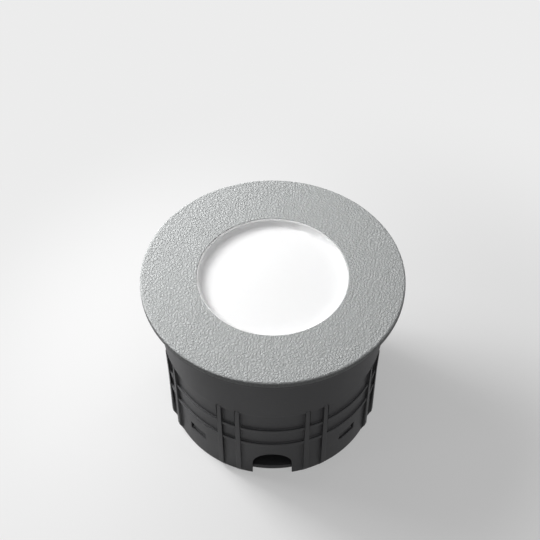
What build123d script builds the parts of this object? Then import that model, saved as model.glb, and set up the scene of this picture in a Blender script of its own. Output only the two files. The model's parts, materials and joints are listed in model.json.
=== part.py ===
"""In-ground well light: a lamp with a round cover ring that lifts out of a moulded sleeve.

Millimetres, +Z up. The origin is on the light's axis at the level of the paving,
which is the underside of the sleeve's rim.
"""

import os
from math import sqrt

from build123d import *

# ---------------------------------------------------------------- driving dimensions
# Cover ring, lens and the seam under the ring
FLANGE_R = 45.0          # outside of the cover ring
EDGE_H = 2.5             # height of the ring's outer edge
EDGE_ROUND = 0.7         # rounding of the ring's top edge
EDGE_FOOT = 0.3          # bevel at the foot of the edge
APERTURE_R = 25.9        # light opening in the face
APERTURE_ROUND = 0.12    # rounding of the opening's sharp edge
COVER_T = 2.6            # metal above the lens pocket
LENS_RECESS = 2.6        # lens face below the ring's face
LENS_FLANGE_W = 2.4      # lens flange beyond the opening
LENS_FLANGE_T = 1.5
LENS_WALL_T = 0.45       # lens upstand, at its top
LENS_BEAD_R = 0.3        # rolled bead along the upstand's top
LENS_LIP_DROP = 0.15     # bead's crest below the ring's face
LENS_WALL_FLARE = 0.8    # how much the upstand's inside opens upwards
LENS_CORNER_R = 0.8      # hollow where the upstand meets the lens face
LENS_GASKET_T = 0.7
LENS_GASKET_W = 2.1
CLAMP_T = 2.1
CLAMP_W = 3.9

# Sleeve in the ground
RIM_T = 1.2
RIM_R = 44.3
RIM_ROUND = 0.4
FACE_GASKET_T = 0.5
FACE_GASKET_W = 6.55
SLEEVE_BORE_R = 36.0
SLEEVE_BAND_R = 39.0     # smooth band that plugs the drilled hole
SLEEVE_BAND_H = 24.0
SLEEVE_WALL_R = 37.8     # wall below the band
SLEEVE_DEPTH = 62.5
MOUTH_CHAMFER = 0.8
RIB_W = 1.8
RIB_TAPER = 3.0          # length of the slope at a rib's foot
RIB_ANGLES = (18.0, 28.0, 62.0, 72.0)
RIB_SINK = 0.5           # ribs run up into the band by this
HOOP_DEPTHS = (33.5, 42.0)
HOOP_H = 1.4
HOOP_PROUD = 0.8         # hoops round the wall, for grip and stiffness
ARCH_W = 14.0            # cable arch
ARCH_H = 13.0
SIDES = 4                # arches, snap tabs and rib groups round the sleeve
BASE_T = 2.0
TAB_W = 7.0
TAB_T = 2.0
TAB_H = 10.5
HOOK_H = 3.0
HOOK_OUT = 1.6           # how far a snap hook reaches into its window
SLOT_W = 3.0
SLOT_COUNT = 12
SLOT_IN_R = 11.0
SLOT_OUT_R = 27.0
HUB_R = 8.0
HUB_RISE = 1.0           # hub and anchor bosses above the base
OUTLET_R = 4.4           # cable outlet in the hub
ANCHOR_R = 1.9
ANCHOR_BOSS_R = 3.6
ANCHOR_PCR = 31.2
ANCHOR_COUNT = 2
ANCHOR_ANGLE = 22.5

# Lamp housing
SPIGOT_R = 35.3          # ring's spigot and housing's flange, inside the sleeve
HOUSING_FLANGE_T = 2.4
CAN_WALL_T = 2.6         # can's wall at its top
CAN_DRAFT = 0.6
FLOOR_T = 2.5
FOOT_ROUND = 1.2         # outside of the can's foot
FLOOR_ROUND = 1.0        # inside, where the cavity meets the floor
FIN_TIP_R = 31.5
FIN_T = 1.5
FIN_END_CLEAR = 2.0      # fin's foot above the can's underside
FIN_SLOPE = 3.0
FIN_PITCH = 10.0         # degrees
FIN_KEEP_OFF_SCREW = 8.0
FIN_KEEP_OFF_CLIP = 17.0
SCREW_COUNT = 6
SCREW_PCR = 32.9         # pitch circle radius of the housing screws
SCREW_R = 1.5
SCREW_BITE = 4.2         # thread length in the ring
HEAD_H = 1.8
HEAD_FACTOR = 1.8        # screw head to shank
HEAD_BEVEL = 0.25        # share of a head's height that is bevelled
SEAL_PCR = 30.0
SEAL_R = 0.75
SEAL_GROOVE_D = 1.2

# Light engine
OPTIC_DEPTH = 5.7        # heat spreader below the clamping plane
SPREADER_T = 3.0
PAD_T = 0.3
BOARD_T = 1.2
BOARD_R = 17.6
PAD_R = 16.9
CHIP_W = 2.8
CHIP_T = 0.7
CHIP_RING_R = 8.0
CHIP_COUNT = 8
CUP_FLANGE_T = 0.8
CUP_FLANGE_W = 4.3
CLAMP_LIP = 1.25         # clamping ring outside the cup's flange
CUP_THROAT_R = 10.4
CUP_WALL = 0.8
CUP_GAP = 0.3            # cup's throat above the board
BOARD_SCREW_PCR = 15.5
BOARD_SCREW_COUNT = 3
BOARD_SCREW_ANGLE = 90.0
SMALL_SCREW_R = 1.0
SMALL_HEAD_H = 0.9
POST_INSET = 3.4         # posts' middle inside the cavity's wall
POST_R = 3.2
POST_COUNT = 3
POST_ANGLE = 30.0
FEED_PCR = 4.4
FEED_ANGLE = 270.0
FEED_PITCH = 2.54
FEED_PIN_R = 0.45
FEED_BUSH_R = 2.6
FEED_COLLAR = 0.7

# Driver
DRIVER_ROOM = 19.4       # floor to heat spreader
STANDOFF_H = 3.0
STANDOFF_R = 2.4
STANDOFF_PCR = 13.6
STANDOFF_ANGLE = 90.0
DRIVER_BOARD_R = 16.8
DRIVER_BOARD_T = 1.6
CABLE_HOLE_R = 5.0
CAPACITOR_R = 3.2
CAPACITOR_H = 10.5
CAPACITOR_GROOVE_Z = 1.5
CAPACITOR_GROOVE_D = 0.3
INDUCTOR_R = 4.2
INDUCTOR_H = 7.5
INDUCTOR_DISC_H = 1.3
INDUCTOR_WAIST = 0.6     # winding inside the discs' edge
TERMINAL_L = 10.4
TERMINAL_W = 7.2
TERMINAL_H = 8.4
TERMINAL_POLES = 2
WIRE_ENTRY_R = 1.3
WIRE_ENTRY_Z = 2.5
SCREW_WELL_R = 1.5
SCREW_WELL_D = 2.5
PART_PCR = 10.8          # where the tall parts stand on the board
CAPACITOR_ANGLES = (0.0, 42.0)
INDUCTOR_ANGLE = 285.0
TERMINAL_ANGLE = 155.0
# x, y, length, width and height of each flat part on the driver board
CHIP_SPOTS = ((-4.9, -9.8, 5.2, 4.2, 1.7), (-6.6, -4.2, 3.2, 2.4, 1.3), (6.4, -4.6, 2.4, 1.4, 0.9))

# Vent plug and cable gland
VENT_PCR = 19.0
VENT_ANGLE = 150.0
VENT_R = 2.5
VENT_HEAD_R = 4.0
VENT_HEAD_H = 1.6
VENT_HOLE_R = 0.6
KNURL_R = 0.5
KNURL_COUNT = 8
BOSS_R = 9.6
BOSS_H = 3.0
GLAND_UPPER_R = 6.0
GLAND_LOWER_R = 6.4
GLAND_HEX_R = 8.9        # across the corners / 2
HEX_BEVEL = 0.65         # height of the bevel at a hexagon's corners
GLAND_COLLAR_H = 3.0
GLAND_THREAD_H = 8.0
GLAND_SEAT_R = 4.9       # pocket of the rubber insert
GLAND_SEAT_D = 5.0
GLAND_BORE_R = 3.9
GLAND_INSIDE = 0.6       # thread proud of the housing's floor
CABLE_R = 3.0            # bore of the rubber insert
SEAL_PROUD = 1.0
WASHER_T = 1.0
WASHER_R = 5.9
NUT_R = 8.9
NUT_CROWN_T = 2.4
NUT_TOP_GAP = 1.0        # nut's mouth below the gland's collar
NUT_DOME = 1.8
GROOVE_W = 1.45
GLAND_RING_R = 0.6

# Spring clips
CLIP_ANGLES = (90.0, 210.0, 330.0)
CLIP_W = 8.0
CLIP_T = 0.6
PIN_R = 1.0
PIN_PCR = 30.15
PIN_DROP = 4.7           # pin below the housing's flange
CLIP_CHORD = 21.0        # straight length of the bowed leaf
CLIP_TOE = 2.0           # straight end below the bow
TAIL_RISE = 1.1
LUG_T = 2.0
LUG_NOSE = 2.2

# Clearances
SLIDE = 0.3              # between the lamp's moving parts and the sleeve
FIT = 0.05               # screws, pins and threads, on the radius
RUNNING = 0.06           # clip eye on its pin
LOOSE = 0.25             # pieces that drop in beside each other
LENS_GAP = 0.06          # lens upstand in the ring's aperture
CUP_ROOM = 0.7           # mixing cup in the housing's cavity
OVERRUN = 1.0            # how far a cutter runs past the wall it opens
EMBED = 0.5              # how far a post or boss is sunk into its floor to fuse

# ---------------------------------------------------------------- levels and radii
Z_UNDER = RIM_T + FACE_GASKET_T          # underside of the cover ring
Z_FACE = Z_UNDER + EDGE_H
Z_POCKET = Z_FACE - COVER_T
Z_LENS_FLANGE = Z_POCKET - LENS_GASKET_T
Z_LENS_UNDER = Z_LENS_FLANGE - LENS_FLANGE_T
Z_LENS_FACE = Z_FACE - LENS_RECESS
Z_CLAMP = Z_LENS_UNDER - LENS_GASKET_T
Z_SEAT = Z_CLAMP - CLAMP_T               # ring's spigot meets the housing here
Z_FLANGE_UNDER = Z_SEAT - HOUSING_FLANGE_T
Z_SPREADER = Z_SEAT - OPTIC_DEPTH
Z_BOARD = Z_SPREADER + PAD_T
Z_CHIPS = Z_BOARD + BOARD_T
Z_POSTS = Z_SPREADER - SPREADER_T
Z_FLOOR = Z_POSTS - DRIVER_ROOM
Z_CAN_UNDER = Z_FLOOR - FLOOR_T
Z_BOSS = Z_CAN_UNDER - BOSS_H
Z_COLLAR = Z_BOSS - GLAND_COLLAR_H
Z_GLAND_END = Z_COLLAR - GLAND_THREAD_H
Z_DRIVER = Z_FLOOR + STANDOFF_H
Z_DRIVER_TOP = Z_DRIVER + DRIVER_BOARD_T
Z_WASHER = Z_GLAND_END - SEAL_PROUD
Z_NUT_SEAT = Z_WASHER - WASHER_T
Z_BASE_TOP = -SLEEVE_DEPTH + BASE_T

LENS_FLANGE_R = APERTURE_R + LENS_FLANGE_W
POCKET_R = LENS_FLANGE_R + LOOSE
UPSTAND_R = APERTURE_R - LENS_GAP
CLAMP_IN_R = LENS_FLANGE_R - CLAMP_W
CUP_FLANGE_R = LENS_FLANGE_R - CLAMP_LIP - LOOSE
CUP_MOUTH_R = CUP_FLANGE_R - CUP_FLANGE_W
CAVITY_R = CUP_MOUTH_R + CUP_WALL + CUP_ROOM
CAN_TOP_R = CAVITY_R + CAN_WALL_T
CAN_FOOT_R = CAN_TOP_R - CAN_DRAFT
POST_PCR = CAVITY_R - POST_INSET
SCREW_HEAD_R = HEAD_FACTOR * SCREW_R
SMALL_HEAD_R = HEAD_FACTOR * SMALL_SCREW_R
PIN_Z = Z_FLANGE_UNDER - PIN_DROP
EYE_IN_R = PIN_R + RUNNING
EYE_MID_R = EYE_IN_R + CLIP_T / 2
CLIP_START_R = PIN_PCR + EYE_MID_R
CLIP_BOW = SLEEVE_BORE_R - SLIDE - CLIP_T / 2 - CLIP_START_R
LUG_GAP = CLIP_W + 2 * SLIDE


# ---------------------------------------------------------------- helpers
def section(*corners, rounds=()):
    """A face from (radius, height) corners. Each round is (corner number, radius)."""
    profile = make_face(Polyline(*corners, close=True))
    for number, radius in rounds:
        corner = Vector(*corners[number])
        profile = fillet(profile.vertices().sort_by_distance(corner)[0], radius)
    return profile


def turned(*corners, rounds=()):
    return revolve(Plane.XZ * section(*corners, rounds=rounds), axis=Axis.Z)


def ring(inner, outer, low, high):
    return turned((inner, low), (outer, low), (outer, high), (inner, high))


def rod(radius, low, high):
    """A round bar on the axis between two levels."""
    return Pos(0, 0, (low + high) / 2) * Cylinder(radius, high - low)


def block(length, width, low, high):
    return Pos(0, 0, (low + high) / 2) * Box(length, width, high - low)


def hexagon(corner_radius, low, high):
    outline = RegularPolygon(corner_radius, 6, major_radius=True)
    return Pos(0, 0, low) * extrude(outline, high - low)


def hex_bar(corner_radius, low, high):
    """A hexagon bar whose corners are turned off at both ends."""
    flats_r = corner_radius * sqrt(3) / 2
    return hexagon(corner_radius, low, high) & turned(
        (0, low),
        (flats_r, low),
        (corner_radius, low + HEX_BEVEL),
        (corner_radius, high - HEX_BEVEL),
        (flats_r, high),
        (0, high),
    )


def out_at(angle, radius, shape):
    """Carry a shape from the axis out to a radius and round to an angle."""
    return Rot(0, 0, angle) * Pos(radius, 0, 0) * shape


def circle_of(count, start=0.0):
    return [start + number * 360 / count for number in range(count)]


def screw(radius, low, high, head_r, head_h, head_below):
    """A screw on the axis: its shank between two levels and a head with a hex socket."""
    seat, crown = (low, low - head_h) if head_below else (high, high + head_h)
    shoulder = crown + (seat - crown) * HEAD_BEVEL
    head = turned(
        (0, seat),
        (head_r, seat),
        (head_r, shoulder),
        (head_r - head_h * HEAD_BEVEL, crown),
        (0, crown),
    )
    floor_z = (seat + crown) / 2
    socket = hexagon(head_r / 2, min(floor_z, crown), max(floor_z, crown))
    return rod(radius, low, high) + head - socket


def strip(path, thickness, width):
    """A flat spring strip: a path of (radius, height) made solid, centred on Y."""
    return extrude(Plane.XZ * trace(path, thickness), width / 2, both=True)


def apart(angle, other):
    """The smallest turn between two directions, in degrees."""
    turn = abs(angle - other) % 360
    return min(turn, 360 - turn)


# ---------------------------------------------------------------- cover ring and lens
def face_ring():
    """Cover ring with its spigot, lens pocket and blind screw holes."""
    body = turned(
        (APERTURE_R, Z_FACE),
        (FLANGE_R, Z_FACE),
        (FLANGE_R, Z_UNDER + EDGE_FOOT),
        (FLANGE_R - EDGE_FOOT, Z_UNDER),
        (SPIGOT_R, Z_UNDER),
        (SPIGOT_R, Z_SEAT),
        (POCKET_R, Z_SEAT),
        (POCKET_R, Z_POCKET),
        (APERTURE_R, Z_POCKET),
        rounds=((0, APERTURE_ROUND), (1, EDGE_ROUND)),
    )
    hole = rod(SCREW_R + FIT, Z_SEAT, Z_SEAT + SCREW_BITE + FIT)
    for angle in circle_of(SCREW_COUNT):
        body -= out_at(angle, SCREW_PCR, hole)
    return body


def diffuser_lens():
    """Opal lens: a sunk face, a beaded upstand that lines the aperture, a flange."""
    lip_z = Z_FACE - LENS_LIP_DROP
    bead_z = lip_z - LENS_BEAD_R
    bead_r = UPSTAND_R - LENS_BEAD_R
    wall_top_r = UPSTAND_R - LENS_WALL_T
    tray = section(
        (0, Z_LENS_UNDER),
        (LENS_FLANGE_R, Z_LENS_UNDER),
        (LENS_FLANGE_R, Z_LENS_FLANGE),
        (UPSTAND_R, Z_LENS_FLANGE),
        (UPSTAND_R, lip_z),
        (bead_r, lip_z),
        (bead_r, bead_z),
        (wall_top_r, bead_z),
        (wall_top_r - LENS_WALL_FLARE, Z_LENS_FACE),
        (0, Z_LENS_FACE),
        rounds=((8, LENS_CORNER_R),),
    )
    bead = Pos(bead_r, bead_z) * Circle(LENS_BEAD_R)
    return revolve(Plane.XZ * (tray + bead), axis=Axis.Z)


def lens_gasket():
    return ring(LENS_FLANGE_R - LENS_GASKET_W, LENS_FLANGE_R, Z_LENS_FLANGE, Z_POCKET)


def lens_cushion():
    return ring(LENS_FLANGE_R - LENS_GASKET_W, LENS_FLANGE_R, Z_CLAMP, Z_LENS_UNDER)


def clamp_ring():
    """Ring below the lens, rebated for the mixing cup's flange."""
    rebate_r = CUP_FLANGE_R + LOOSE
    rebate_z = Z_SEAT + CUP_FLANGE_T
    return turned(
        (CLAMP_IN_R, Z_CLAMP),
        (LENS_FLANGE_R, Z_CLAMP),
        (LENS_FLANGE_R, Z_SEAT),
        (rebate_r, Z_SEAT),
        (rebate_r, rebate_z),
        (CLAMP_IN_R, rebate_z),
    )


def face_gasket():
    """Flat gasket on the sleeve's rim, from beside the mouth's chamfer outwards."""
    inner = SLEEVE_BORE_R + MOUTH_CHAMFER + LOOSE
    return ring(inner, inner + FACE_GASKET_W, RIM_T, Z_UNDER)


# ---------------------------------------------------------------- light engine
def mixing_cup():
    """White cone from round the LEDs up to the lens, hung by its flange."""
    throat_z = Z_CHIPS + CUP_GAP
    flange_top = Z_SEAT + CUP_FLANGE_T
    return turned(
        (CUP_THROAT_R, throat_z),
        (CUP_THROAT_R + CUP_WALL, throat_z),
        (CUP_MOUTH_R + CUP_WALL, Z_SEAT),
        (CUP_FLANGE_R, Z_SEAT),
        (CUP_FLANGE_R, flange_top),
        (CUP_MOUTH_R, flange_top),
    )


def heat_spreader():
    """Aluminium plate on the housing's posts, pierced for its screws and the feed."""
    plate = rod(CAVITY_R - LOOSE, Z_POSTS, Z_SPREADER)
    for angle in circle_of(POST_COUNT, POST_ANGLE):
        plate -= out_at(angle, POST_PCR, rod(SCREW_R + FIT, Z_POSTS, Z_SPREADER))
    for angle in circle_of(BOARD_SCREW_COUNT, BOARD_SCREW_ANGLE):
        thread = rod(SMALL_SCREW_R + FIT, Z_POSTS, Z_SPREADER)
        plate -= out_at(angle, BOARD_SCREW_PCR, thread)
    return plate - out_at(FEED_ANGLE, FEED_PCR, rod(FEED_BUSH_R + FIT, Z_POSTS, Z_SPREADER))


def board_disc(radius, low, high):
    """A disc pierced for the board screws and the two feed pins."""
    disc = rod(radius, low, high)
    for angle in circle_of(BOARD_SCREW_COUNT, BOARD_SCREW_ANGLE):
        disc -= out_at(angle, BOARD_SCREW_PCR, rod(SMALL_SCREW_R + FIT, low, high))
    for x in (-FEED_PITCH / 2, FEED_PITCH / 2):
        disc -= Pos(x, -FEED_PCR, 0) * rod(FEED_PIN_R + FIT, low, high)
    return disc


def thermal_pad():
    return board_disc(PAD_R, Z_SPREADER, Z_BOARD)


def led_board():
    return board_disc(BOARD_R, Z_BOARD, Z_CHIPS)


def led_chips():
    chip = block(CHIP_W, CHIP_W, Z_CHIPS, Z_CHIPS + CHIP_T)
    around = [out_at(a, CHIP_RING_R, chip) for a in circle_of(CHIP_COUNT)]
    return Compound([chip, *around])


def board_screws():
    one = screw(SMALL_SCREW_R, Z_POSTS, Z_CHIPS, SMALL_HEAD_R, SMALL_HEAD_H, False)
    angles = circle_of(BOARD_SCREW_COUNT, BOARD_SCREW_ANGLE)
    return Compound([out_at(a, BOARD_SCREW_PCR, one) for a in angles])


def spreader_screws():
    one = screw(SCREW_R, Z_POSTS - SCREW_BITE, Z_SPREADER, SCREW_HEAD_R, HEAD_H, False)
    return Compound([out_at(a, POST_PCR, one) for a in circle_of(POST_COUNT, POST_ANGLE)])


def feed_bush():
    """Insulator of the feed pins, with a collar under the heat spreader."""
    collar_low = Z_POSTS - FEED_COLLAR
    bush = rod(FEED_BUSH_R, Z_POSTS, Z_SPREADER)
    bush += rod(FEED_BUSH_R + FEED_COLLAR, collar_low, Z_POSTS)
    for x in (-FEED_PITCH / 2, FEED_PITCH / 2):
        bush -= Pos(x, 0, 0) * rod(FEED_PIN_R + FIT, collar_low, Z_SPREADER)
    return Pos(0, -FEED_PCR, 0) * bush


def feed_pins():
    pin = rod(FEED_PIN_R, Z_DRIVER, Z_CHIPS + FEED_COLLAR)
    xs = (-FEED_PITCH / 2, FEED_PITCH / 2)
    return Compound([Pos(x, -FEED_PCR, 0) * pin for x in xs])


# ---------------------------------------------------------------- driver
def driver_board():
    """Round board on the standoffs, with a central hole for the cable."""
    disc = rod(DRIVER_BOARD_R, Z_DRIVER, Z_DRIVER_TOP)
    disc -= Pos(0, CABLE_HOLE_R / 2, 0) * rod(CABLE_HOLE_R, Z_DRIVER, Z_DRIVER_TOP)
    for angle in circle_of(POST_COUNT, STANDOFF_ANGLE):
        hole = rod(SMALL_SCREW_R + FIT, Z_DRIVER, Z_DRIVER_TOP)
        disc -= out_at(angle, STANDOFF_PCR, hole)
    for x in (-FEED_PITCH / 2, FEED_PITCH / 2):
        disc -= Pos(x, -FEED_PCR, 0) * rod(FEED_PIN_R + FIT, Z_DRIVER, Z_DRIVER_TOP)
    return disc


def driver_screws():
    low = Z_FLOOR + FIT
    one = screw(SMALL_SCREW_R, low, Z_DRIVER_TOP, SMALL_HEAD_R, SMALL_HEAD_H, False)
    return Compound([out_at(a, STANDOFF_PCR, one) for a in circle_of(POST_COUNT, STANDOFF_ANGLE)])


def driver_capacitors():
    """Two cans with a rolled groove above their seals."""
    can = turned(
        (0, 0),
        (CAPACITOR_R, 0),
        (CAPACITOR_R, CAPACITOR_GROOVE_Z),
        (CAPACITOR_R - CAPACITOR_GROOVE_D, CAPACITOR_GROOVE_Z + CAPACITOR_GROOVE_D),
        (CAPACITOR_R, CAPACITOR_GROOVE_Z + 2 * CAPACITOR_GROOVE_D),
        (CAPACITOR_R, CAPACITOR_H),
        (0, CAPACITOR_H),
    )
    lifted = Pos(0, 0, Z_DRIVER_TOP) * can
    return Compound([out_at(a, PART_PCR, lifted) for a in CAPACITOR_ANGLES])


def driver_inductor():
    """Drum core: two discs on a waist that carries the winding."""
    waist_r = INDUCTOR_R - INDUCTOR_WAIST
    drum = turned(
        (0, 0),
        (INDUCTOR_R, 0),
        (INDUCTOR_R, INDUCTOR_DISC_H),
        (waist_r, INDUCTOR_DISC_H),
        (waist_r, INDUCTOR_H - INDUCTOR_DISC_H),
        (INDUCTOR_R, INDUCTOR_H - INDUCTOR_DISC_H),
        (INDUCTOR_R, INDUCTOR_H),
        (0, INDUCTOR_H),
    )
    return Pos(0, 0, Z_DRIVER_TOP) * out_at(INDUCTOR_ANGLE, PART_PCR, drum)


def driver_chips():
    """Bridge, controller and filter, flat on the board."""
    low = Z_DRIVER_TOP
    return Compound(
        [Pos(x, y, 0) * block(l, w, low, low + h) for x, y, l, w, h in CHIP_SPOTS]
    )


def terminal_block():
    """Screw terminal with one wire entry and one screw well for each pole."""
    body = block(TERMINAL_L, TERMINAL_W, 0, TERMINAL_H)
    pitch = TERMINAL_L / TERMINAL_POLES
    for number in range(TERMINAL_POLES):
        x = (number - (TERMINAL_POLES - 1) / 2) * pitch
        entry = Rot(90, 0, 0) * Cylinder(WIRE_ENTRY_R, TERMINAL_W)
        body -= Pos(x, -TERMINAL_W / 2, WIRE_ENTRY_Z) * entry
        body -= Pos(x, 0, 0) * rod(SCREW_WELL_R, TERMINAL_H - SCREW_WELL_D, TERMINAL_H)
    lifted = Pos(0, 0, Z_DRIVER_TOP) * Rot(0, 0, 90) * body
    return out_at(TERMINAL_ANGLE, PART_PCR, lifted)


# ---------------------------------------------------------------- housing
def fin():
    """One cooling fin, from under the flange to a sloped foot, fused to the can."""
    foot = Z_CAN_UNDER + FIN_END_CLEAR
    root = CAVITY_R + CAN_DRAFT
    outline = Polyline(
        (root, Z_FLANGE_UNDER + SCREW_R / 2),
        (FIN_TIP_R, Z_FLANGE_UNDER + SCREW_R / 2),
        (FIN_TIP_R, foot + FIN_SLOPE),
        (CAN_FOOT_R + (FIN_TIP_R - CAN_FOOT_R) / 3, foot),
        (root, foot),
        close=True,
    )
    return extrude(Plane.XZ * make_face(outline), FIN_T / 2, both=True)


def fin_angles():
    """Every pitch round the can, less those at a screw head or a clip."""
    angles = circle_of(round(360 / FIN_PITCH))
    screws = circle_of(SCREW_COUNT)
    return [
        a
        for a in angles
        if min(apart(a, s) for s in screws) > FIN_KEEP_OFF_SCREW
        and min(apart(a, c) for c in CLIP_ANGLES) > FIN_KEEP_OFF_CLIP
    ]


def lug():
    """One ear of a clip's hinge, hung from the flange."""
    nose = Pos(PIN_PCR, 0, PIN_Z) * Rot(90, 0, 0) * Cylinder(LUG_NOSE, LUG_T)
    root = CAVITY_R + CAN_DRAFT
    low, high = PIN_Z - LUG_NOSE, Z_FLANGE_UNDER + SCREW_R / 2
    web = Pos((root + PIN_PCR) / 2, 0, (low + high) / 2) * Box(
        PIN_PCR - root, LUG_T, high - low
    )
    cheek = Pos(PIN_PCR, 0, (PIN_Z + high) / 2) * Box(2 * LUG_NOSE, LUG_T, high - PIN_Z)
    hole = Pos(PIN_PCR, 0, PIN_Z) * Rot(90, 0, 0) * Cylinder(PIN_R + FIT / 2, LUG_T)
    return nose + web + cheek - hole


def lamp_housing():
    """Finned can with its screw flange, clip lugs, inner posts and gland boss."""
    body = turned(
        (CAVITY_R, Z_SEAT),
        (SPIGOT_R, Z_SEAT),
        (SPIGOT_R, Z_FLANGE_UNDER),
        (CAN_TOP_R, Z_FLANGE_UNDER),
        (CAN_FOOT_R, Z_CAN_UNDER),
        (BOSS_R, Z_CAN_UNDER),
        (BOSS_R, Z_BOSS),
        (0, Z_BOSS),
        (0, Z_FLOOR),
        (CAVITY_R, Z_FLOOR),
        rounds=((4, FOOT_ROUND), (9, FLOOR_ROUND)),
    )
    fins = [Rot(0, 0, angle) * fin() for angle in fin_angles()]
    side = (LUG_GAP + LUG_T) / 2
    lugs = [
        Rot(0, 0, angle) * Pos(0, y, 0) * lug()
        for angle in CLIP_ANGLES
        for y in (-side, side)
    ]
    posts = [
        out_at(angle, POST_PCR, rod(POST_R, Z_FLOOR - EMBED, Z_POSTS))
        for angle in circle_of(POST_COUNT, POST_ANGLE)
    ]
    standoffs = [
        out_at(angle, STANDOFF_PCR, rod(STANDOFF_R, Z_FLOOR - EMBED, Z_DRIVER))
        for angle in circle_of(POST_COUNT, STANDOFF_ANGLE)
    ]
    body = body + fins + lugs + posts + standoffs

    body -= ring(SEAL_PCR - SEAL_R, SEAL_PCR + SEAL_R, Z_SEAT - SEAL_GROOVE_D, Z_SEAT)
    for angle in circle_of(SCREW_COUNT):
        hole = rod(SCREW_R + 2 * FIT, Z_FLANGE_UNDER, Z_SEAT)
        body -= out_at(angle, SCREW_PCR, hole)
    for angle in circle_of(POST_COUNT, POST_ANGLE):
        hole = rod(SCREW_R + FIT, Z_POSTS - SCREW_BITE - FIT, Z_POSTS)
        body -= out_at(angle, POST_PCR, hole)
    for angle in circle_of(POST_COUNT, STANDOFF_ANGLE):
        hole = rod(SMALL_SCREW_R + FIT, Z_FLOOR, Z_DRIVER)
        body -= out_at(angle, STANDOFF_PCR, hole)
    body -= rod(GLAND_UPPER_R + FIT, Z_BOSS, Z_FLOOR)
    body -= rod(GLAND_UPPER_R + GROOVE_W, Z_BOSS, Z_BOSS + 2 * GLAND_RING_R)
    return body - out_at(VENT_ANGLE, VENT_PCR, rod(VENT_R + FIT, Z_CAN_UNDER, Z_FLOOR))


def housing_seal():
    """O-ring, pressed to its groove's depth by the cover ring."""
    half_height = SEAL_GROOVE_D / 2
    section = Pos(SEAL_PCR, Z_SEAT - half_height) * Ellipse(SEAL_R - FIT, half_height)
    return revolve(Plane.XZ * section, axis=Axis.Z)


def housing_screws():
    high = Z_SEAT + SCREW_BITE
    one = screw(SCREW_R, Z_FLANGE_UNDER, high, SCREW_HEAD_R, HEAD_H, True)
    return Compound([out_at(a, SCREW_PCR, one) for a in circle_of(SCREW_COUNT)])


def vent_plug():
    """Plug with a knurled head and a breathing hole."""
    plug = rod(VENT_R, Z_CAN_UNDER, Z_FLOOR)
    plug += rod(VENT_HEAD_R, Z_CAN_UNDER - VENT_HEAD_H, Z_CAN_UNDER)
    for angle in circle_of(KNURL_COUNT):
        groove = rod(KNURL_R, Z_CAN_UNDER - VENT_HEAD_H, Z_CAN_UNDER)
        plug -= out_at(angle, VENT_HEAD_R, groove)
    plug -= rod(VENT_HOLE_R, Z_CAN_UNDER - VENT_HEAD_H, Z_FLOOR)
    return out_at(VENT_ANGLE, VENT_PCR, plug)


# ---------------------------------------------------------------- cable gland
def gland_body():
    """Threaded tube with a hexagon collar and the pocket of the rubber insert."""
    top = Z_FLOOR + GLAND_INSIDE
    body = rod(GLAND_UPPER_R, Z_BOSS, top) + hex_bar(GLAND_HEX_R, Z_COLLAR, Z_BOSS)
    body += rod(GLAND_LOWER_R, Z_GLAND_END, Z_COLLAR)
    body -= rod(GLAND_BORE_R, Z_GLAND_END, top)
    return body - rod(GLAND_SEAT_R, Z_GLAND_END, Z_GLAND_END + GLAND_SEAT_D)


def gland_o_ring():
    middle = GLAND_UPPER_R + GROOVE_W / 2
    section = Pos(middle, Z_BOSS + GLAND_RING_R) * Circle(GLAND_RING_R - FIT / 2)
    return revolve(Plane.XZ * section, axis=Axis.Z)


def gland_seal():
    """Rubber insert, bored for the cable."""
    outer = GLAND_SEAT_R - FIT
    return ring(CABLE_R, outer, Z_WASHER, Z_GLAND_END + GLAND_SEAT_D)


def gland_washer():
    return ring(CABLE_R + LOOSE, WASHER_R, Z_NUT_SEAT, Z_WASHER)


def gland_nut():
    """Domed hexagon nut that turns on the gland's lower thread."""
    top, low = Z_COLLAR - NUT_TOP_GAP, Z_NUT_SEAT - NUT_CROWN_T
    flats_r = NUT_R * sqrt(3) / 2
    nut = hex_bar(NUT_R, low, top) & turned(
        (0, low),
        (flats_r - NUT_DOME, low),
        (NUT_R, low + NUT_DOME),
        (NUT_R, top),
        (0, top),
    )
    nut -= rod(GLAND_LOWER_R + FIT, Z_NUT_SEAT, top)
    return nut - rod(CABLE_R + LOOSE, low, Z_NUT_SEAT)


# ---------------------------------------------------------------- spring clips
def clip_leaf(angle):
    """Bowed spring leaf with a rolled eye on its pin and a tail that stops on the can."""
    start = (CLIP_START_R, PIN_Z)
    crest = (CLIP_START_R + CLIP_BOW, PIN_Z - CLIP_CHORD / 2)
    end = (CLIP_START_R, PIN_Z - CLIP_CHORD)
    bow = ThreePointArc(start, crest, end)
    heading = bow % 1
    toe_end = (end[0] + heading.X * CLIP_TOE, end[1] + heading.Y * CLIP_TOE)
    tail_z = PIN_Z + TAIL_RISE
    can_share = (Z_FLANGE_UNDER - tail_z) / (Z_FLANGE_UNDER - Z_CAN_UNDER)
    tail_end = (CAN_TOP_R - CAN_DRAFT * can_share + SLIDE, tail_z)
    tail_start = (PIN_PCR - sqrt(EYE_MID_R**2 - TAIL_RISE**2), tail_z)
    leaf = strip(bow, CLIP_T, CLIP_W) + strip(Line(end, toe_end), CLIP_T, CLIP_W)
    leaf += strip(Line(tail_start, tail_end), CLIP_T, CLIP_W)
    eye = Rot(90, 0, 0) * Cylinder(EYE_IN_R + CLIP_T, CLIP_W)
    bore = Rot(90, 0, 0) * Cylinder(EYE_IN_R, CLIP_W)
    place = Pos(PIN_PCR, 0, PIN_Z)
    return Rot(0, 0, angle) * (leaf + place * eye - place * bore)


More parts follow.
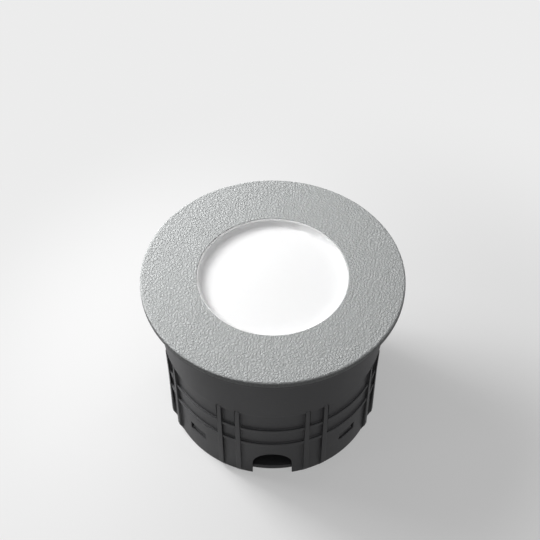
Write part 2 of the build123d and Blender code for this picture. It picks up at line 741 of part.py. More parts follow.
def clip_pins():
    length = LUG_GAP + 2 * LUG_T + 2 * SLIDE
    pin = Pos(PIN_PCR, 0, PIN_Z) * Rot(90, 0, 0) * Cylinder(PIN_R, length)
    return Compound([Rot(0, 0, angle) * pin for angle in CLIP_ANGLES])


# ---------------------------------------------------------------- sleeve and its base
def arch():
    """Cutter of one cable arch, open at the sleeve's foot."""
    half = ARCH_W / 2
    low = -SLEEVE_DEPTH - OVERRUN
    spring_z = -SLEEVE_DEPTH + ARCH_H - half
    outline = Polyline(
        (-half, low), (half, low), (half, spring_z), (-half, spring_z), close=True
    )
    face = make_face(outline) + Pos(0, spring_z) * Circle(half)
    reach = (SLEEVE_BAND_R - SLEEVE_BORE_R) / 2 + 2 * OVERRUN
    cutter = extrude(Plane.YZ * face, reach, both=True)
    return Pos((SLEEVE_BAND_R + SLEEVE_BORE_R) / 2, 0, 0) * cutter


def rib():
    """One gripping rib, flush with the band above and sloped at its foot."""
    root = SLEEVE_WALL_R - (SLEEVE_WALL_R - SLEEVE_BORE_R) / 2
    top = -SLEEVE_BAND_H + RIB_SINK
    outline = Polyline(
        (root, top),
        (SLEEVE_BAND_R, top),
        (SLEEVE_BAND_R, -SLEEVE_DEPTH + RIB_TAPER),
        (SLEEVE_WALL_R, -SLEEVE_DEPTH),
        (root, -SLEEVE_DEPTH),
        close=True,
    )
    return extrude(Plane.XZ * make_face(outline), RIB_W / 2, both=True)


def mounting_sleeve():
    """Moulded sleeve: rim, smooth band, wall with ribs and hoops, arches and windows."""
    step = SLEEVE_BAND_R - SLEEVE_WALL_R
    body = turned(
        (SLEEVE_BORE_R, RIM_T),
        (RIM_R, RIM_T),
        (RIM_R, 0),
        (SLEEVE_BAND_R, 0),
        (SLEEVE_BAND_R, -SLEEVE_BAND_H),
        (SLEEVE_WALL_R, -SLEEVE_BAND_H - step),
        (SLEEVE_WALL_R, -SLEEVE_DEPTH),
        (SLEEVE_BORE_R, -SLEEVE_DEPTH),
        rounds=((1, RIM_ROUND),),
    )
    mouth = [e for e in body.edges().filter_by(GeomType.CIRCLE) if is_mouth(e)]
    body = chamfer(mouth, MOUTH_CHAMFER)
    sectors = circle_of(SIDES)
    body += [Rot(0, 0, s + a) * rib() for s in sectors for a in RIB_ANGLES]
    for depth in HOOP_DEPTHS:
        hoop_r = SLEEVE_WALL_R + HOOP_PROUD
        body += ring(SLEEVE_BORE_R, hoop_r, -depth - HOOP_H, -depth)
    for sector in sectors:
        body -= Rot(0, 0, sector) * arch()
        body -= Rot(0, 0, sector + 180 / SIDES) * window()
    return body


def is_mouth(edge):
    """Whether an edge is the circle where the sleeve's bore meets its rim."""
    at_top = abs(edge.center().Z - RIM_T) < 0.01
    return at_top and abs(edge.radius - SLEEVE_BORE_R) < 0.01


def hook_levels():
    """Lowest and highest level of a snap hook."""
    high = Z_BASE_TOP + TAB_H
    return high - HOOK_H, high


def window():
    """Cutter of one snap window, a clearance larger than its hook."""
    low, high = hook_levels()
    reach = SLEEVE_BAND_R - SLEEVE_BORE_R + 2 * OVERRUN
    opening = Box(reach, TAB_W + 2 * SLIDE, high - low + 2 * SLIDE)
    return Pos((SLEEVE_BAND_R + SLEEVE_BORE_R) / 2, 0, (low + high) / 2) * opening


def drain_base():
    """Slotted disc with a cable outlet, anchor bosses and hooked snap tabs."""
    outer = SLEEVE_BORE_R - SLIDE
    disc = rod(outer, -SLEEVE_DEPTH, Z_BASE_TOP)
    slot_length = SLOT_OUT_R - SLOT_IN_R
    slot = extrude(SlotOverall(slot_length, SLOT_W), BASE_T)
    place = Pos((SLOT_IN_R + SLOT_OUT_R) / 2, 0, -SLEEVE_DEPTH)
    for angle in circle_of(SLOT_COUNT):
        disc -= Rot(0, 0, angle) * place * slot
    top = Z_BASE_TOP + HUB_RISE
    anchors = circle_of(ANCHOR_COUNT, ANCHOR_ANGLE)
    disc += rod(HUB_R, -SLEEVE_DEPTH, top)
    disc -= rod(OUTLET_R, -SLEEVE_DEPTH, top)
    for angle in anchors:
        disc += out_at(angle, ANCHOR_PCR, rod(ANCHOR_BOSS_R, -SLEEVE_DEPTH, top))
        disc -= out_at(angle, ANCHOR_PCR, rod(ANCHOR_R, -SLEEVE_DEPTH, top))
    hook_low, hook_high = hook_levels()
    chord_r = sqrt(outer**2 - (TAB_W / 2) ** 2)
    outline = Polyline(
        (chord_r - TAB_T, Z_BASE_TOP - BASE_T / 2),
        (chord_r, Z_BASE_TOP - BASE_T / 2),
        (chord_r, hook_low),
        (chord_r + HOOK_OUT, hook_low),
        (chord_r, hook_high),
        (chord_r - TAB_T, hook_high),
        close=True,
    )
    tab = extrude(Plane.XZ * make_face(outline), TAB_W / 2, both=True)
    return disc + [Rot(0, 0, a) * tab for a in circle_of(SIDES, 180 / SIDES)]


# ---------------------------------------------------------------- writing the parts
PARTS = {
    "mounting_sleeve": mounting_sleeve,
    "drain_base": drain_base,
    "face_ring": face_ring,
    "face_gasket": face_gasket,
    "diffuser_lens": diffuser_lens,
    "lens_gasket": lens_gasket,
    "lens_cushion": lens_cushion,
    "clamp_ring": clamp_ring,
    "mixing_cup": mixing_cup,
    "led_board": led_board,
    "led_chips": led_chips,
    "board_screws": board_screws,
    "thermal_pad": thermal_pad,
    "heat_spreader": heat_spreader,
    "spreader_screws": spreader_screws,
    "feed_bush": feed_bush,
    "feed_pins": feed_pins,
    "driver_board": driver_board,
    "driver_capacitors": driver_capacitors,
    "driver_inductor": driver_inductor,
    "driver_chips": driver_chips,
    "terminal_block": terminal_block,
    "driver_screws": driver_screws,
    "lamp_housing": lamp_housing,
    "housing_seal": housing_seal,
    "housing_screws": housing_screws,
    "vent_plug": vent_plug,
    "gland_body": gland_body,
    "gland_o_ring": gland_o_ring,
    "gland_seal": gland_seal,
    "gland_washer": gland_washer,
    "gland_nut": gland_nut,
    "clip_pins": clip_pins,
}

os.makedirs("parts", exist_ok=True)
for name, make in PARTS.items():
    export_step(make(), f"parts/{name}.step")
for number, angle in enumerate(CLIP_ANGLES, start=1):
    export_step(clip_leaf(angle), f"parts/clip_leaf_{number}.step")
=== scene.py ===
# %% [markdown]
# # An in-ground well light
#
# The object is a small light that sits flush in paving: a silver-grey cover ring
# with a leather-like coat, an opal lens sunk in its middle, and below the ground a
# finned lamp in a black moulded sleeve. The construction comes from the packed
# frame, and this file gives each piece its surface.

# %% Load the frame
import json
import math

import bmesh
import bpy
import numpy as np
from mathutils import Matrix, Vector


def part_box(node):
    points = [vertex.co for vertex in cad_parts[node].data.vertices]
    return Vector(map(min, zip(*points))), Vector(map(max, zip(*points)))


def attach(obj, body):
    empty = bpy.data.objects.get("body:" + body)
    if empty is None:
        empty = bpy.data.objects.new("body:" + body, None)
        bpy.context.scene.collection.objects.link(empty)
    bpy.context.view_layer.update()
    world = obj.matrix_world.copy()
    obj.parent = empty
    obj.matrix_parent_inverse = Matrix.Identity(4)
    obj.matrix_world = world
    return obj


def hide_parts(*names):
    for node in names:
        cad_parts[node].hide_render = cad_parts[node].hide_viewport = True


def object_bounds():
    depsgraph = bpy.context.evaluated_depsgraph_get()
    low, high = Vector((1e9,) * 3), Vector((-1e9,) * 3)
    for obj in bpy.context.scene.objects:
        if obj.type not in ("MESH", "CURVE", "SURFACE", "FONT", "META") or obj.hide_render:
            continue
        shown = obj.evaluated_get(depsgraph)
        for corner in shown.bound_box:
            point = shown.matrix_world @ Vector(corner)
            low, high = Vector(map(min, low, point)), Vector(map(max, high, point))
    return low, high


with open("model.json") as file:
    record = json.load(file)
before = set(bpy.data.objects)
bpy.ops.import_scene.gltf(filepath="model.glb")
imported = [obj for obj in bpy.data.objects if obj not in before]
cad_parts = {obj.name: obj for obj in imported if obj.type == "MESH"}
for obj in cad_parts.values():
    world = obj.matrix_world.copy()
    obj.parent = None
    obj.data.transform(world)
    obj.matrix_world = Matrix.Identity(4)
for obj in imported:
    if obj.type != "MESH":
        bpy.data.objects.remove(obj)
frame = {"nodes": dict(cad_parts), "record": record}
cad_low, cad_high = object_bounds()
nodes = frame["nodes"]
MM = 0.001
print("frame box, mm:", [round(c / MM, 1) for c in (*cad_low, *cad_high)])

# %% [markdown]
# ## The camera
#
# The photograph looks down on the ring at about 50 degrees. The flattening of the
# ring's two ellipses gives that angle, and the shift between their centres gives the
# distance: nine times the ring's radius. A lens of just under 80 mm then makes the
# ring as wide in the frame as it is in the photograph. The aim point lies a little off
# the ring's centre, because the photograph isn't centred on it.

# %% Camera at the photograph's angle
ring_low, ring_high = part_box("face_ring")
RING_R = ring_high.x
FACE_Z = ring_high.z
CAMERA_ELEVATION = math.radians(49.88)
CAMERA_DISTANCE = 9 * RING_R
CAMERA_LENS = 79.7
NEAREST_SEEN = 10 * MM
AIM = (-0.95 * MM, 1.97 * MM, FACE_Z)


def make_camera():
    """The camera stands back from the ring's centre, and looks at the aim point."""
    data = bpy.data.cameras.new("photo_camera")
    data.lens = CAMERA_LENS
    data.clip_start = NEAREST_SEEN
    camera = bpy.data.objects.new("photo_camera", data)
    bpy.context.scene.collection.objects.link(camera)
    back = -CAMERA_DISTANCE * math.cos(CAMERA_ELEVATION)
    up = CAMERA_DISTANCE * math.sin(CAMERA_ELEVATION)
    camera.location = (0, back, FACE_Z + up)
    gaze = Vector(AIM) - camera.location
    camera.rotation_mode = "QUATERNION"
    camera.rotation_quaternion = gaze.to_track_quat("-Z", "Y")
    bpy.context.scene.camera = camera


make_camera()
print("camera", round(CAMERA_DISTANCE / MM), "mm from the ring, lens", CAMERA_LENS, "mm")

# %% [markdown]
# ## Shader maths as Python
#
# A material is a small program made of nodes. It could be built node by node and link
# by link, but then its formula is hard to see. A thin class around a socket lets the
# program be written as arithmetic, and one method makes every other node.

# %% Sockets and finishes
class Socket:
    """An output of a shader node. Arithmetic on it adds Math nodes."""

    def __init__(self, finish, out):
        self.finish, self.out = finish, out

    def __add__(self, other):
        return self.finish.math("ADD", self, other)

    def __sub__(self, other):
        return self.finish.math("SUBTRACT", self, other)

    def __rsub__(self, other):
        return self.finish.math("SUBTRACT", other, self)

    def __mul__(self, other):
        return self.finish.math("MULTIPLY", self, other)

    def __pow__(self, other):
        return self.finish.math("POWER", self, other)

    __radd__, __rmul__ = __add__, __mul__


class Finish:
    """A material built round one Principled shader."""

    def __init__(self, name, **constants):
        self.material = bpy.data.materials.new(name)
        self.material.use_nodes = True
        self.tree = self.material.node_tree
        self.shader = self.tree.nodes["Principled BSDF"]
        for socket, value in constants.items():
            self.put(self.shader, socket.replace("_", " "), value)
        coords = self.tree.nodes.new("ShaderNodeTexCoord")
        self.place = Socket(self, coords.outputs["Object"])

    def put(self, node, key, value):
        """Set one input of a node, or link a socket to it."""
        if isinstance(value, Socket):
            self.tree.links.new(value.out, node.inputs[key])
        elif isinstance(value, tuple) and len(value) == 3:
            wide = len(node.inputs[key].default_value) == 4
            node.inputs[key].default_value = (*value, 1.0) if wide else value
        else:
            node.inputs[key].default_value = value

    def node(self, kind, settings, inputs, out=0):
        """Add a node: its settings first, then its inputs by name or number."""
        node = self.tree.nodes.new("ShaderNode" + kind)
        for key, value in settings.items():
            setattr(node, key, value)
        for key, value in inputs.items():
            self.put(node, key, value)
        return Socket(self, node.outputs[out])

    def math(self, operation, *numbers):
        """A Math node on one, two or three numbers or sockets."""
        return self.node("Math", {"operation": operation}, dict(enumerate(numbers)))

    def noise(self, size, detail=2.0, rough=0.5, stretch=(1, 1, 1)):
        """Cloudy noise from 0 to 1 whose blobs are about size metres across.

        Stretch makes them that many times longer along x, y and z.
        """
        scale = tuple(1 / size / s for s in stretch)
        where = self.node("Mapping", {}, {"Vector": self.place, "Scale": scale})
        inputs = {"Vector": where, "Scale": 1.0, "Detail": detail, "Roughness": rough}
        return self.node("TexNoise", {}, inputs)

    def pebbles(self, size, crease, bend):
        """Pebbles about size metres across: 0 in the creases between them, 1 on top.

        They are the cells of a Voronoi texture, whose places noise shifts by up to bend.
        """
        cloud = self.node("TexNoise", {}, {"Vector": self.place, "Scale": 1 / size}, out=1)
        shift = {0: cloud, 1: (bend,) * 3, 2: self.place}
        moved = self.node("VectorMath", {"operation": "MULTIPLY_ADD"}, shift)
        feature = {"feature": "DISTANCE_TO_EDGE"}
        edge = self.node("TexVoronoi", feature, {"Vector": moved, "Scale": 1 / size})
        return self.spread(edge, 0.0, crease, "SMOOTHSTEP")

    def spread(self, value, low, high, curve="LINEAR"):
        """Stretch the part of a value between two limits to 0 to 1."""
        settings = {"interpolation_type": curve}
        return self.node("MapRange", settings, {0: value, 1: low, 2: high})

    def mixed(self, mask, first, second):
        """One colour where the mask is 0, another where it is 1."""
        settings = {"data_type": "RGBA"}
        return self.node("Mix", settings, {0: mask, 6: first, 7: second}, out=2)

    def bump(self, height, depth):
        """A height from 0 to 1 as relief, depth metres high."""
        return self.node("Bump", {}, {"Height": height, "Distance": depth})

    def axes(self):
        """The x, y and z of a point, as three sockets."""
        split = self.node("SeparateXYZ", {}, {0: self.place}).out.node
        return [Socket(self, out) for out in split.outputs]

    def give(self, **sockets):
        """Link sockets of the shader, such as Base_Color=..., and return the material."""
        for socket, value in sockets.items():
            self.put(self.shader, socket.replace("_", " "), value)
        return self.material


print("sockets take + - * **, and a finish adds the other nodes")

# %% [markdown]
# ## Studio
#
# The floor is plain and pale. More light would whiten it, but would wash out the ring
# too, so its paint glows a little by itself, and only for the rays that look at it.
# Near the sleeve's foot it glows less and takes the shadow.

# %% Floor and world
FLOOR_HALF = 4.0
FLOOR_Z = cad_low.z
PALE = 0.84
FLOOR_WHITE = 0.8
FLOOR_BOUNCE = 0.3
WORLD_LEVEL = 0.1
SHADE_SPOT = (0.03, -0.01, FLOOR_Z)
SHADE_SHARE = 0.42
SHADE_FROM, SHADE_TO = 0.055, 0.19


def seen_ray(tree):
    """1 for the rays that look at a surface, by sight or in a mirror, and 0 for its light."""
    path = tree.nodes.new("ShaderNodeLightPath")
    seen = path.outputs["Is Camera Ray"]
    for ray in ("Is Glossy Ray", "Is Transmission Ray"):
        either = tree.nodes.new("ShaderNodeMath")
        either.operation = "MAXIMUM"
        tree.links.new(seen, either.inputs[0])
        tree.links.new(path.outputs[ray], either.inputs[1])
        seen = either.outputs[0]
    return seen


def floor_paint():
    """Paint that takes the shadow near one spot, and fades to the backdrop away from it.

    The share of its own glow grows with the distance from the spot, and the share of
    plain white paint, which takes the shadow, shrinks. Rays that don't look at the floor
    find a grey that throws little light back at the object.
    """
    f = Finish("floor_paint", Roughness=1.0, Specular_IOR_Level=0.0, Emission_Strength=1.0)
    levels = (0.0, FLOOR_WHITE, FLOOR_BOUNCE, PALE)
    black, white, bounce, pale = ((level,) * 3 for level in levels)
    seen = Socket(f, seen_ray(f.tree))
    ends = {0: f.place, 1: SHADE_SPOT}
    radius = f.node("VectorMath", {"operation": "DISTANCE"}, ends, out=1)
    far = f.spread(radius, SHADE_FROM, SHADE_TO, "SMOOTHERSTEP")
    share = SHADE_SHARE + (1 - SHADE_SHARE) * far
    near = f.mixed(share, white, black)
    glow = f.mixed(seen * share, black, pale)
    return f.give(Base_Color=f.mixed(seen, bounce, near), Emission_Color=glow)


def make_floor():
    """A plain square at the sleeve's foot."""
    h, z = FLOOR_HALF, FLOOR_Z
    mesh = bpy.data.meshes.new("floor")
    mesh.from_pydata([(-h, -h, z), (h, -h, z), (h, h, z), (-h, h, z)], [], [(0, 1, 2, 3)])
    floor = bpy.data.objects.new("floor", mesh)
    bpy.context.scene.collection.objects.link(floor)
    mesh.materials.append(floor_paint())


def make_world():
    """Weak even light from all round, and a pale backdrop for the rays that see it."""
    world = bpy.data.worlds.new("studio")
    bpy.context.scene.world = world
    world.use_nodes = True
    tree = world.node_tree
    tree.nodes.clear()
    glow = tree.nodes.new("ShaderNodeBackground")
    glow.inputs["Strength"].default_value = WORLD_LEVEL
    back = tree.nodes.new("ShaderNodeBackground")
    for light, level in ((glow, 1.0), (back, PALE)):
        light.inputs["Color"].default_value = (level, level, level, 1.0)
    mix = tree.nodes.new("ShaderNodeMixShader")
    tree.links.new(seen_ray(tree), mix.inputs[0])
    tree.links.new(glow.outputs[0], mix.inputs[1])
    tree.links.new(back.outputs[0], mix.inputs[2])
    out = tree.nodes.new("ShaderNodeOutputWorld")
    tree.links.new(mix.outputs[0], out.inputs[0])


make_floor()
make_world()
print("floor", 2 * FLOOR_HALF, "m wide, world at", WORLD_LEVEL)

# %% [markdown]
# The shade inside the left of the lens rim shows that the daylight came from behind on
# the left. One sun lamp could stand for it, but its shadows would be too hard. So a
# small low panel stands there, whose light rakes over the coat and brings out its
# relief, and a wider one above it. A panel overhead stands for the sky. Weak panels in
# front and at the sides show the sleeve, and the world gives the rest.

# %% Lamps
RING_TOP = (0, 0, FACE_Z)
SLEEVE_MIDDLE = (0, 0, cad_low.z / 2)
LAMPS = [
    ("key", (-0.2, 0.12, 0.12), (0.09, 0.09), 0.61, RING_TOP),
    ("window", (-0.36, 0.18, 0.36), (0.3, 0.3), 1.85, RING_TOP),
    ("sky", (0.0, 0.05, 0.9), (1.0, 1.0), 0.96, RING_TOP),
    ("front", (0.0, -0.5, 0.7), (0.6, 0.6), 0.22, RING_TOP),
    ("strip_right", (0.5, -0.2, 0.05), (0.12, 0.45), 0.3, SLEEVE_MIDDLE),
    ("strip_left", (-0.5, -0.2, 0.05), (0.12, 0.45), 0.2, SLEEVE_MIDDLE),
    ("strip_back", (0.34, 0.42, 0.05), (0.1, 0.45), 0.28, SLEEVE_MIDDLE),
]


def make_lamp(name, place, size, watts, aim):
    """A panel of light, width by height, turned to face the point it is aimed at."""
    data = bpy.data.lights.new(name, "AREA")
    data.shape = "RECTANGLE"
    data.size, data.size_y = size
    data.energy = watts
    lamp = bpy.data.objects.new(name, data)
    bpy.context.scene.collection.objects.link(lamp)
    lamp.location = place
    lamp.rotation_mode = "QUATERNION"
    lamp.rotation_quaternion = (Vector(aim) - lamp.location).to_track_quat("-Z", "Y")


for lamp in LAMPS:
    make_lamp(*lamp)
bpy.context.scene.view_settings.view_transform = "Standard"
print(len(LAMPS), "lamps,", round(sum(lamp[3] for lamp in LAMPS), 2), "W in all")

# %% [markdown]
# ## Surfaces of revolution
#
# Nearly every piece of this light is round. A Screw modifier could turn a profile of
# radius and height, but the coat's relief needs each point and its normal. So numpy
# carries the profile round the axis, and the surface is one grid of points.

# %% Profiles and grids
def line(start, end, step):
    """Points evenly spaced from start up to, but not including, end."""
    start, end = np.array(start, float), np.array(end, float)
    count = max(1, int(round(np.linalg.norm(end - start) / step)))
    return start + (end - start) * np.arange(count)[:, None] / count


def arc(centre, radius, start, end, count):
    """Points on a circle from one angle to another, in degrees, without the last."""
    angle = np.radians(start + (end - start) * np.arange(count) / count)
    return np.array(centre) + radius * np.stack([np.cos(angle), np.sin(angle)], axis=1)


def outward(profile):
    """The normal at each point of a closed clockwise profile: its tangent turned left.

    The tangent is the line from the point before it to the point after it.
    """
    tangent = np.roll(profile, -1, axis=0) - np.roll(profile, 1, axis=0)
    tangent /= np.linalg.norm(tangent, axis=1, keepdims=True)
    return np.stack([-tangent[:, 1], tangent[:, 0]], axis=1)


def turn(profile, segments):
    """Carry a profile round the axis: x = r cos u, y = r sin u, z = height."""
    u = np.arange(segments) / segments * 2 * np.pi
    r, z = profile[:, 0], profile[:, 1]
    x, y = np.outer(np.cos(u), r), np.outer(np.sin(u), r)
    return np.stack([x, y, np.broadcast_to(z, x.shape)], axis=2)


def mesh_of(name, points, faces):
    """A smooth mesh from points and faces of three or four corners."""
    mesh = bpy.data.meshes.new(name)
    mesh.from_pydata(points.reshape(-1, 3), [], faces)
    mesh.polygons.foreach_set("use_smooth", np.ones(len(faces), bool))
    mesh.update()
    return mesh


def grid_quads(rows, columns, closed):
    """Corners of the quads of a grid whose rows go round, and whose columns may."""
    u, v = np.meshgrid(np.arange(rows), np.arange(columns - (not closed)), indexing="ij")
    u2, v2 = (u + 1) % rows, (v + 1) % columns
    corners = [u * columns + v, u * columns + v2, u2 * columns + v2, u2 * columns + v]
    return np.stack([c.ravel() for c in corners], axis=1)


def ring_mesh(name, points):
    """The mesh of a closed section carried round the axis."""
    return mesh_of(name, points, grid_quads(*points.shape[:2], True).tolist())


def disc_mesh(name, profile, segments):
    """The mesh of a profile that starts and ends on the axis, with a point at each pole.

    The rest of the profile is carried round, and triangles join it to the poles.
    """
    points = turn(profile[1:-1], segments)
    rows, columns = points.shape[:2]
    faces = grid_quads(rows, columns, False).tolist()
    first = np.arange(rows) * columns
    last, after = first + columns - 1, np.roll(first, -1)
    top, bottom = rows * columns, rows * columns + 1
    faces += [(top, a, b) for a, b in zip(first.tolist(), after.tolist())]
    faces += [(bottom, b + columns - 1, a) for a, b in zip(last.tolist(), after.tolist())]
    poles = np.array([[0, 0, profile[0, 1]], [0, 0, profile[-1, 1]]])
    return mesh_of(name, np.concatenate([points.reshape(-1, 3), poles]), faces)


print("a turned grid of 4 rows by 3 has", len(grid_quads(4, 3, False)), "quads")

# %% [markdown]
# A piece is a mesh with a finish. It rides on one of the frame's bodies, so that it
# moves with that body, and it stands for the CAD node whose finer form it is.

# %% Pieces and their finishes
finishes = {}


def place_piece(name, mesh, body, slot, replaced):
    """Link a mesh as a piece that rides on a body, wears a finish and stands for a node."""
    piece = bpy.data.objects.new(name, mesh)
    bpy.context.scene.collection.objects.link(piece)
    mesh.materials.append(finishes[slot])
    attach(piece, body)
    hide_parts(replaced)
    print(name, len(mesh.polygons), "faces")
    return piece


# %% [markdown]
# ## The leather-like coat
#
# The cover ring's coat has a worm-like grain about a millimetre across. Bump in the
# material alone would leave the ring's edge a smooth line, so the larger grain is real
# relief: a field of smooth noise is folded into ridges, and each point of the ring's
# upper side moves along its own normal by that height. The material adds what is finer
# than the mesh.

# %% Noise on the plane
TABLE = 256
LATTICE_GAIN = 1.4


def lattice(x, y, seed):
    """Smooth noise from -1 to 1: random slopes at whole numbers, blended between.

    The blend is 6 f^5 - 15 f^4 + 10 f^3, of the distance f from the whole number below.
    """
    x0, y0 = np.floor(x).astype(int), np.floor(y).astype(int)
    fx, fy = x - x0, y - y0
    table = np.random.default_rng(seed).uniform(0, 2 * np.pi, (TABLE, TABLE))

    def corner(dx, dy):
        angle = table[(x0 + dx) % TABLE, (y0 + dy) % TABLE]
        return np.cos(angle) * (fx - dx) + np.sin(angle) * (fy - dy)

    sx, sy = (f * f * f * (f * (f * 6 - 15) + 10) for f in (fx, fy))
    low = corner(0, 0) * (1 - sx) + corner(1, 0) * sx
    high = corner(0, 1) * (1 - sx) + corner(1, 1) * sx
    return (low * (1 - sy) + high * sy) * LATTICE_GAIN


GRAIN = 1.0 * MM
GRAIN_DEPTH = 0.1 * MM
BEND_SIZE = 4 * GRAIN
BEND = 0.7
HILL_GAIN = 1.7
FINER = 2.1


def leather(x, y):
    """Height from about 0 to 1: rounded hills with narrow creases between them.

    The hills are the size of smooth noise, whose zero lines become the creases. Wider
    noise bends them, and noise of half their size roughens them.
    """
    bend_x, bend_y = (lattice(x / BEND_SIZE, y / BEND_SIZE, seed) for seed in (3, 4))
    u, v = x / GRAIN + BEND * bend_x, y / GRAIN + BEND * bend_y
    hills = np.abs(lattice(u, v, 5)) * HILL_GAIN
    fine = lattice(u * FINER, v * FINER, 6)
    return 0.7 * hills + 0.3 * fine


across = np.linspace(-RING_R, RING_R, 5000)
heights = leather(across, across)
print("coat's height, mean and highest:", heights.mean().round(2), heights.max().round(2))

# %% [markdown]
# ## The cover ring
#
# The ring is a die casting with a rounded outer edge. From its underside hangs a
# spigot, which is turned to fit on the lamp and stays bare. A pocket inside the spigot
# holds the lens and its seal. The whole section is one closed profile, so the turned
# surface has no seam between its face, its edge and its spigot. Only the coated part is
# cut finely.

# %% The ring's section and mesh
APERTURE_R = 25.9 * MM
APERTURE_ROUND = 0.12 * MM
EDGE_ROUND = 0.7 * MM
EDGE_FOOT = 0.3 * MM
SPIGOT_R = 35.3 * MM
UNDER_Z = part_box("face_gasket")[1].z
SEAT_Z = ring_low.z
POCKET_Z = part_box("lens_gasket")[1].z
POCKET_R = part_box("diffuser_lens")[1].x + 0.25 * MM
RING_SEGMENTS = 1000
FINE, COARSE = 0.28 * MM, 1.6 * MM
GRAIN_FOOT = 0.8 * MM
GRAIN_INSET = 0.6 * MM
GRAIN_LEVEL = 0.6


def ring_profile():
    """The ring's section, clockwise from the opening's edge over the face and back."""
    r = EDGE_ROUND
    a = APERTURE_ROUND
    parts = [
        arc((APERTURE_R + a, FACE_Z - a), a, 180, 90, 4),
        line((APERTURE_R + a, FACE_Z), (RING_R - r, FACE_Z), FINE),
        arc((RING_R - r, FACE_Z - r), r, 90, 0, 7),
        line((RING_R, FACE_Z - r), (RING_R, UNDER_Z + EDGE_FOOT), FINE),
        line((RING_R, UNDER_Z + EDGE_FOOT), (RING_R - EDGE_FOOT, UNDER_Z), FINE),
        line((RING_R - EDGE_FOOT, UNDER_Z), (SPIGOT_R, UNDER_Z), 3 * COARSE),
        line((SPIGOT_R, UNDER_Z), (SPIGOT_R, SEAT_Z), 2 * COARSE),
        line((SPIGOT_R, SEAT_Z), (POCKET_R, SEAT_Z), 4 * COARSE),
        line((POCKET_R, SEAT_Z), (POCKET_R, POCKET_Z), 4 * COARSE),
        line((POCKET_R, POCKET_Z), (APERTURE_R, POCKET_Z), COARSE),
        line((APERTURE_R, POCKET_Z), (APERTURE_R, FACE_Z - a), COARSE),
    ]
    return np.concatenate(parts)


def ring_points():
    """The turned section, with the coat's relief on its face and round its edge.

    The relief grows from nothing at the ring's foot and at the opening's edge, and no
    point passes the level of the face or the ring's radius.
    """
    profile = ring_profile()
    points = turn(profile, RING_SEGMENTS)
    normals = turn(outward(profile), RING_SEGMENTS)
    coated = np.clip((profile[:, 1] - UNDER_Z) / GRAIN_FOOT, 0, 1)
    coated *= np.clip((profile[:, 0] - APERTURE_R) / GRAIN_INSET, 0, 1)
    height = leather(points[..., 0], points[..., 1] - points[..., 2]) - GRAIN_LEVEL
    points = points + normals * (height * GRAIN_DEPTH * coated)[..., None]
    points[..., 2] = np.minimum(points[..., 2], FACE_Z)
    span = np.hypot(points[..., 0], points[..., 1])
    shrink = np.minimum(1, RING_R / span)
    points[..., :2] *= shrink[..., None]
    return points


ring_grid = ring_points()
print("ring's grid", ring_grid.shape[:2])

# %% [markdown]
# The coat is a satin film over the casting. Its finest grain is smaller than the mesh's
# faces, so it is a bump of small pebbles and specks. Painted shade darkens the creases
# between the pebbles, and the ring's side below its face, as in the photograph. The coat
# stops at the ring's underside.

# %% The ring's coat
PEBBLE = 1.05 * MM
PEBBLE_CREASE = 0.3
PEBBLE_BEND = 0.8 * MM
COAT_DEPTH = 0.19 * MM
# Heights over which the ring's side turns to painted shade.
SIDE_SHADE_FROM, SIDE_SHADE_TO = FACE_Z - 0.2 * MM, FACE_Z - 0.7 * MM
BARE_FROM, BARE_TO = UNDER_Z - 0.02 * MM, UNDER_Z - 0.1 * MM


def cover_coat():
    """Silver-grey powder coat: a satin film over the relief, slightly clouded.

    Painted shade darkens it in the creases and down the ring's side. Below the
    ring's underside the spigot is bare, turned metal.
    """
    f = Finish("cover_coat")
    cloud = f.noise(14 * MM, 3.0)
    speck = f.noise(0.5 * MM, 3.0, 0.6)
    pebbles = f.pebbles(PEBBLE, PEBBLE_CREASE, PEBBLE_BEND)
    skin = f.mixed(cloud, (0.455, 0.467, 0.465), (0.485, 0.498, 0.495))
    # Painted shade: the creases between the pebbles are darker than the pebbles' tops.
    face = f.mixed(pebbles, (0.385, 0.396, 0.396), skin)
    _, _, z = f.axes()
    # Painted shade: below the rounded edge, the ring's side turns dark grey.
    side = f.spread(z, SIDE_SHADE_FROM, SIDE_SHADE_TO, "SMOOTHSTEP")
    bare = f.spread(z, BARE_FROM, BARE_TO)
    coated = f.mixed(side, face, (0.13, 0.134, 0.134))
    tint = f.mixed(bare, coated, (0.5, 0.505, 0.51))
    relief = f.bump((0.7 * pebbles + 0.6 * speck) * (1 - 0.95 * bare), COAT_DEPTH)
    rough = 0.56 + 0.14 * speck - 0.24 * bare
    return f.give(Base_Color=tint, Roughness=rough, Metallic=bare, Normal=relief)


finishes["cover_coat"] = cover_coat()
cover_ring = ring_mesh("cover_ring", ring_grid)
place_piece("cover_ring", cover_ring, "lamp", "cover_coat", "face_ring")

# %% [markdown]
# ## The opal lens
#
# The lens is a white moulding that scatters light. Its face lies below the ring's, and
# an upstand with a rounded hollow at its foot lines the opening. A flat disc with a
# glow would match from above, but the shade inside the opening comes from that upstand
# and from light that wanders under the skin, so both are made.

# %% Lens
lens_low, lens_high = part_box("diffuser_lens")
LENS_FACE_Z = FACE_Z - 2.6 * MM
UPSTAND_R = APERTURE_R - 0.06 * MM
BEAD_R = 0.3 * MM
WALL_T = 0.45 * MM
WALL_FLARE = 0.8 * MM
HOLLOW_R = 0.8 * MM
LIP_DROP = 0.15 * MM
LENS_SEGMENTS = 256


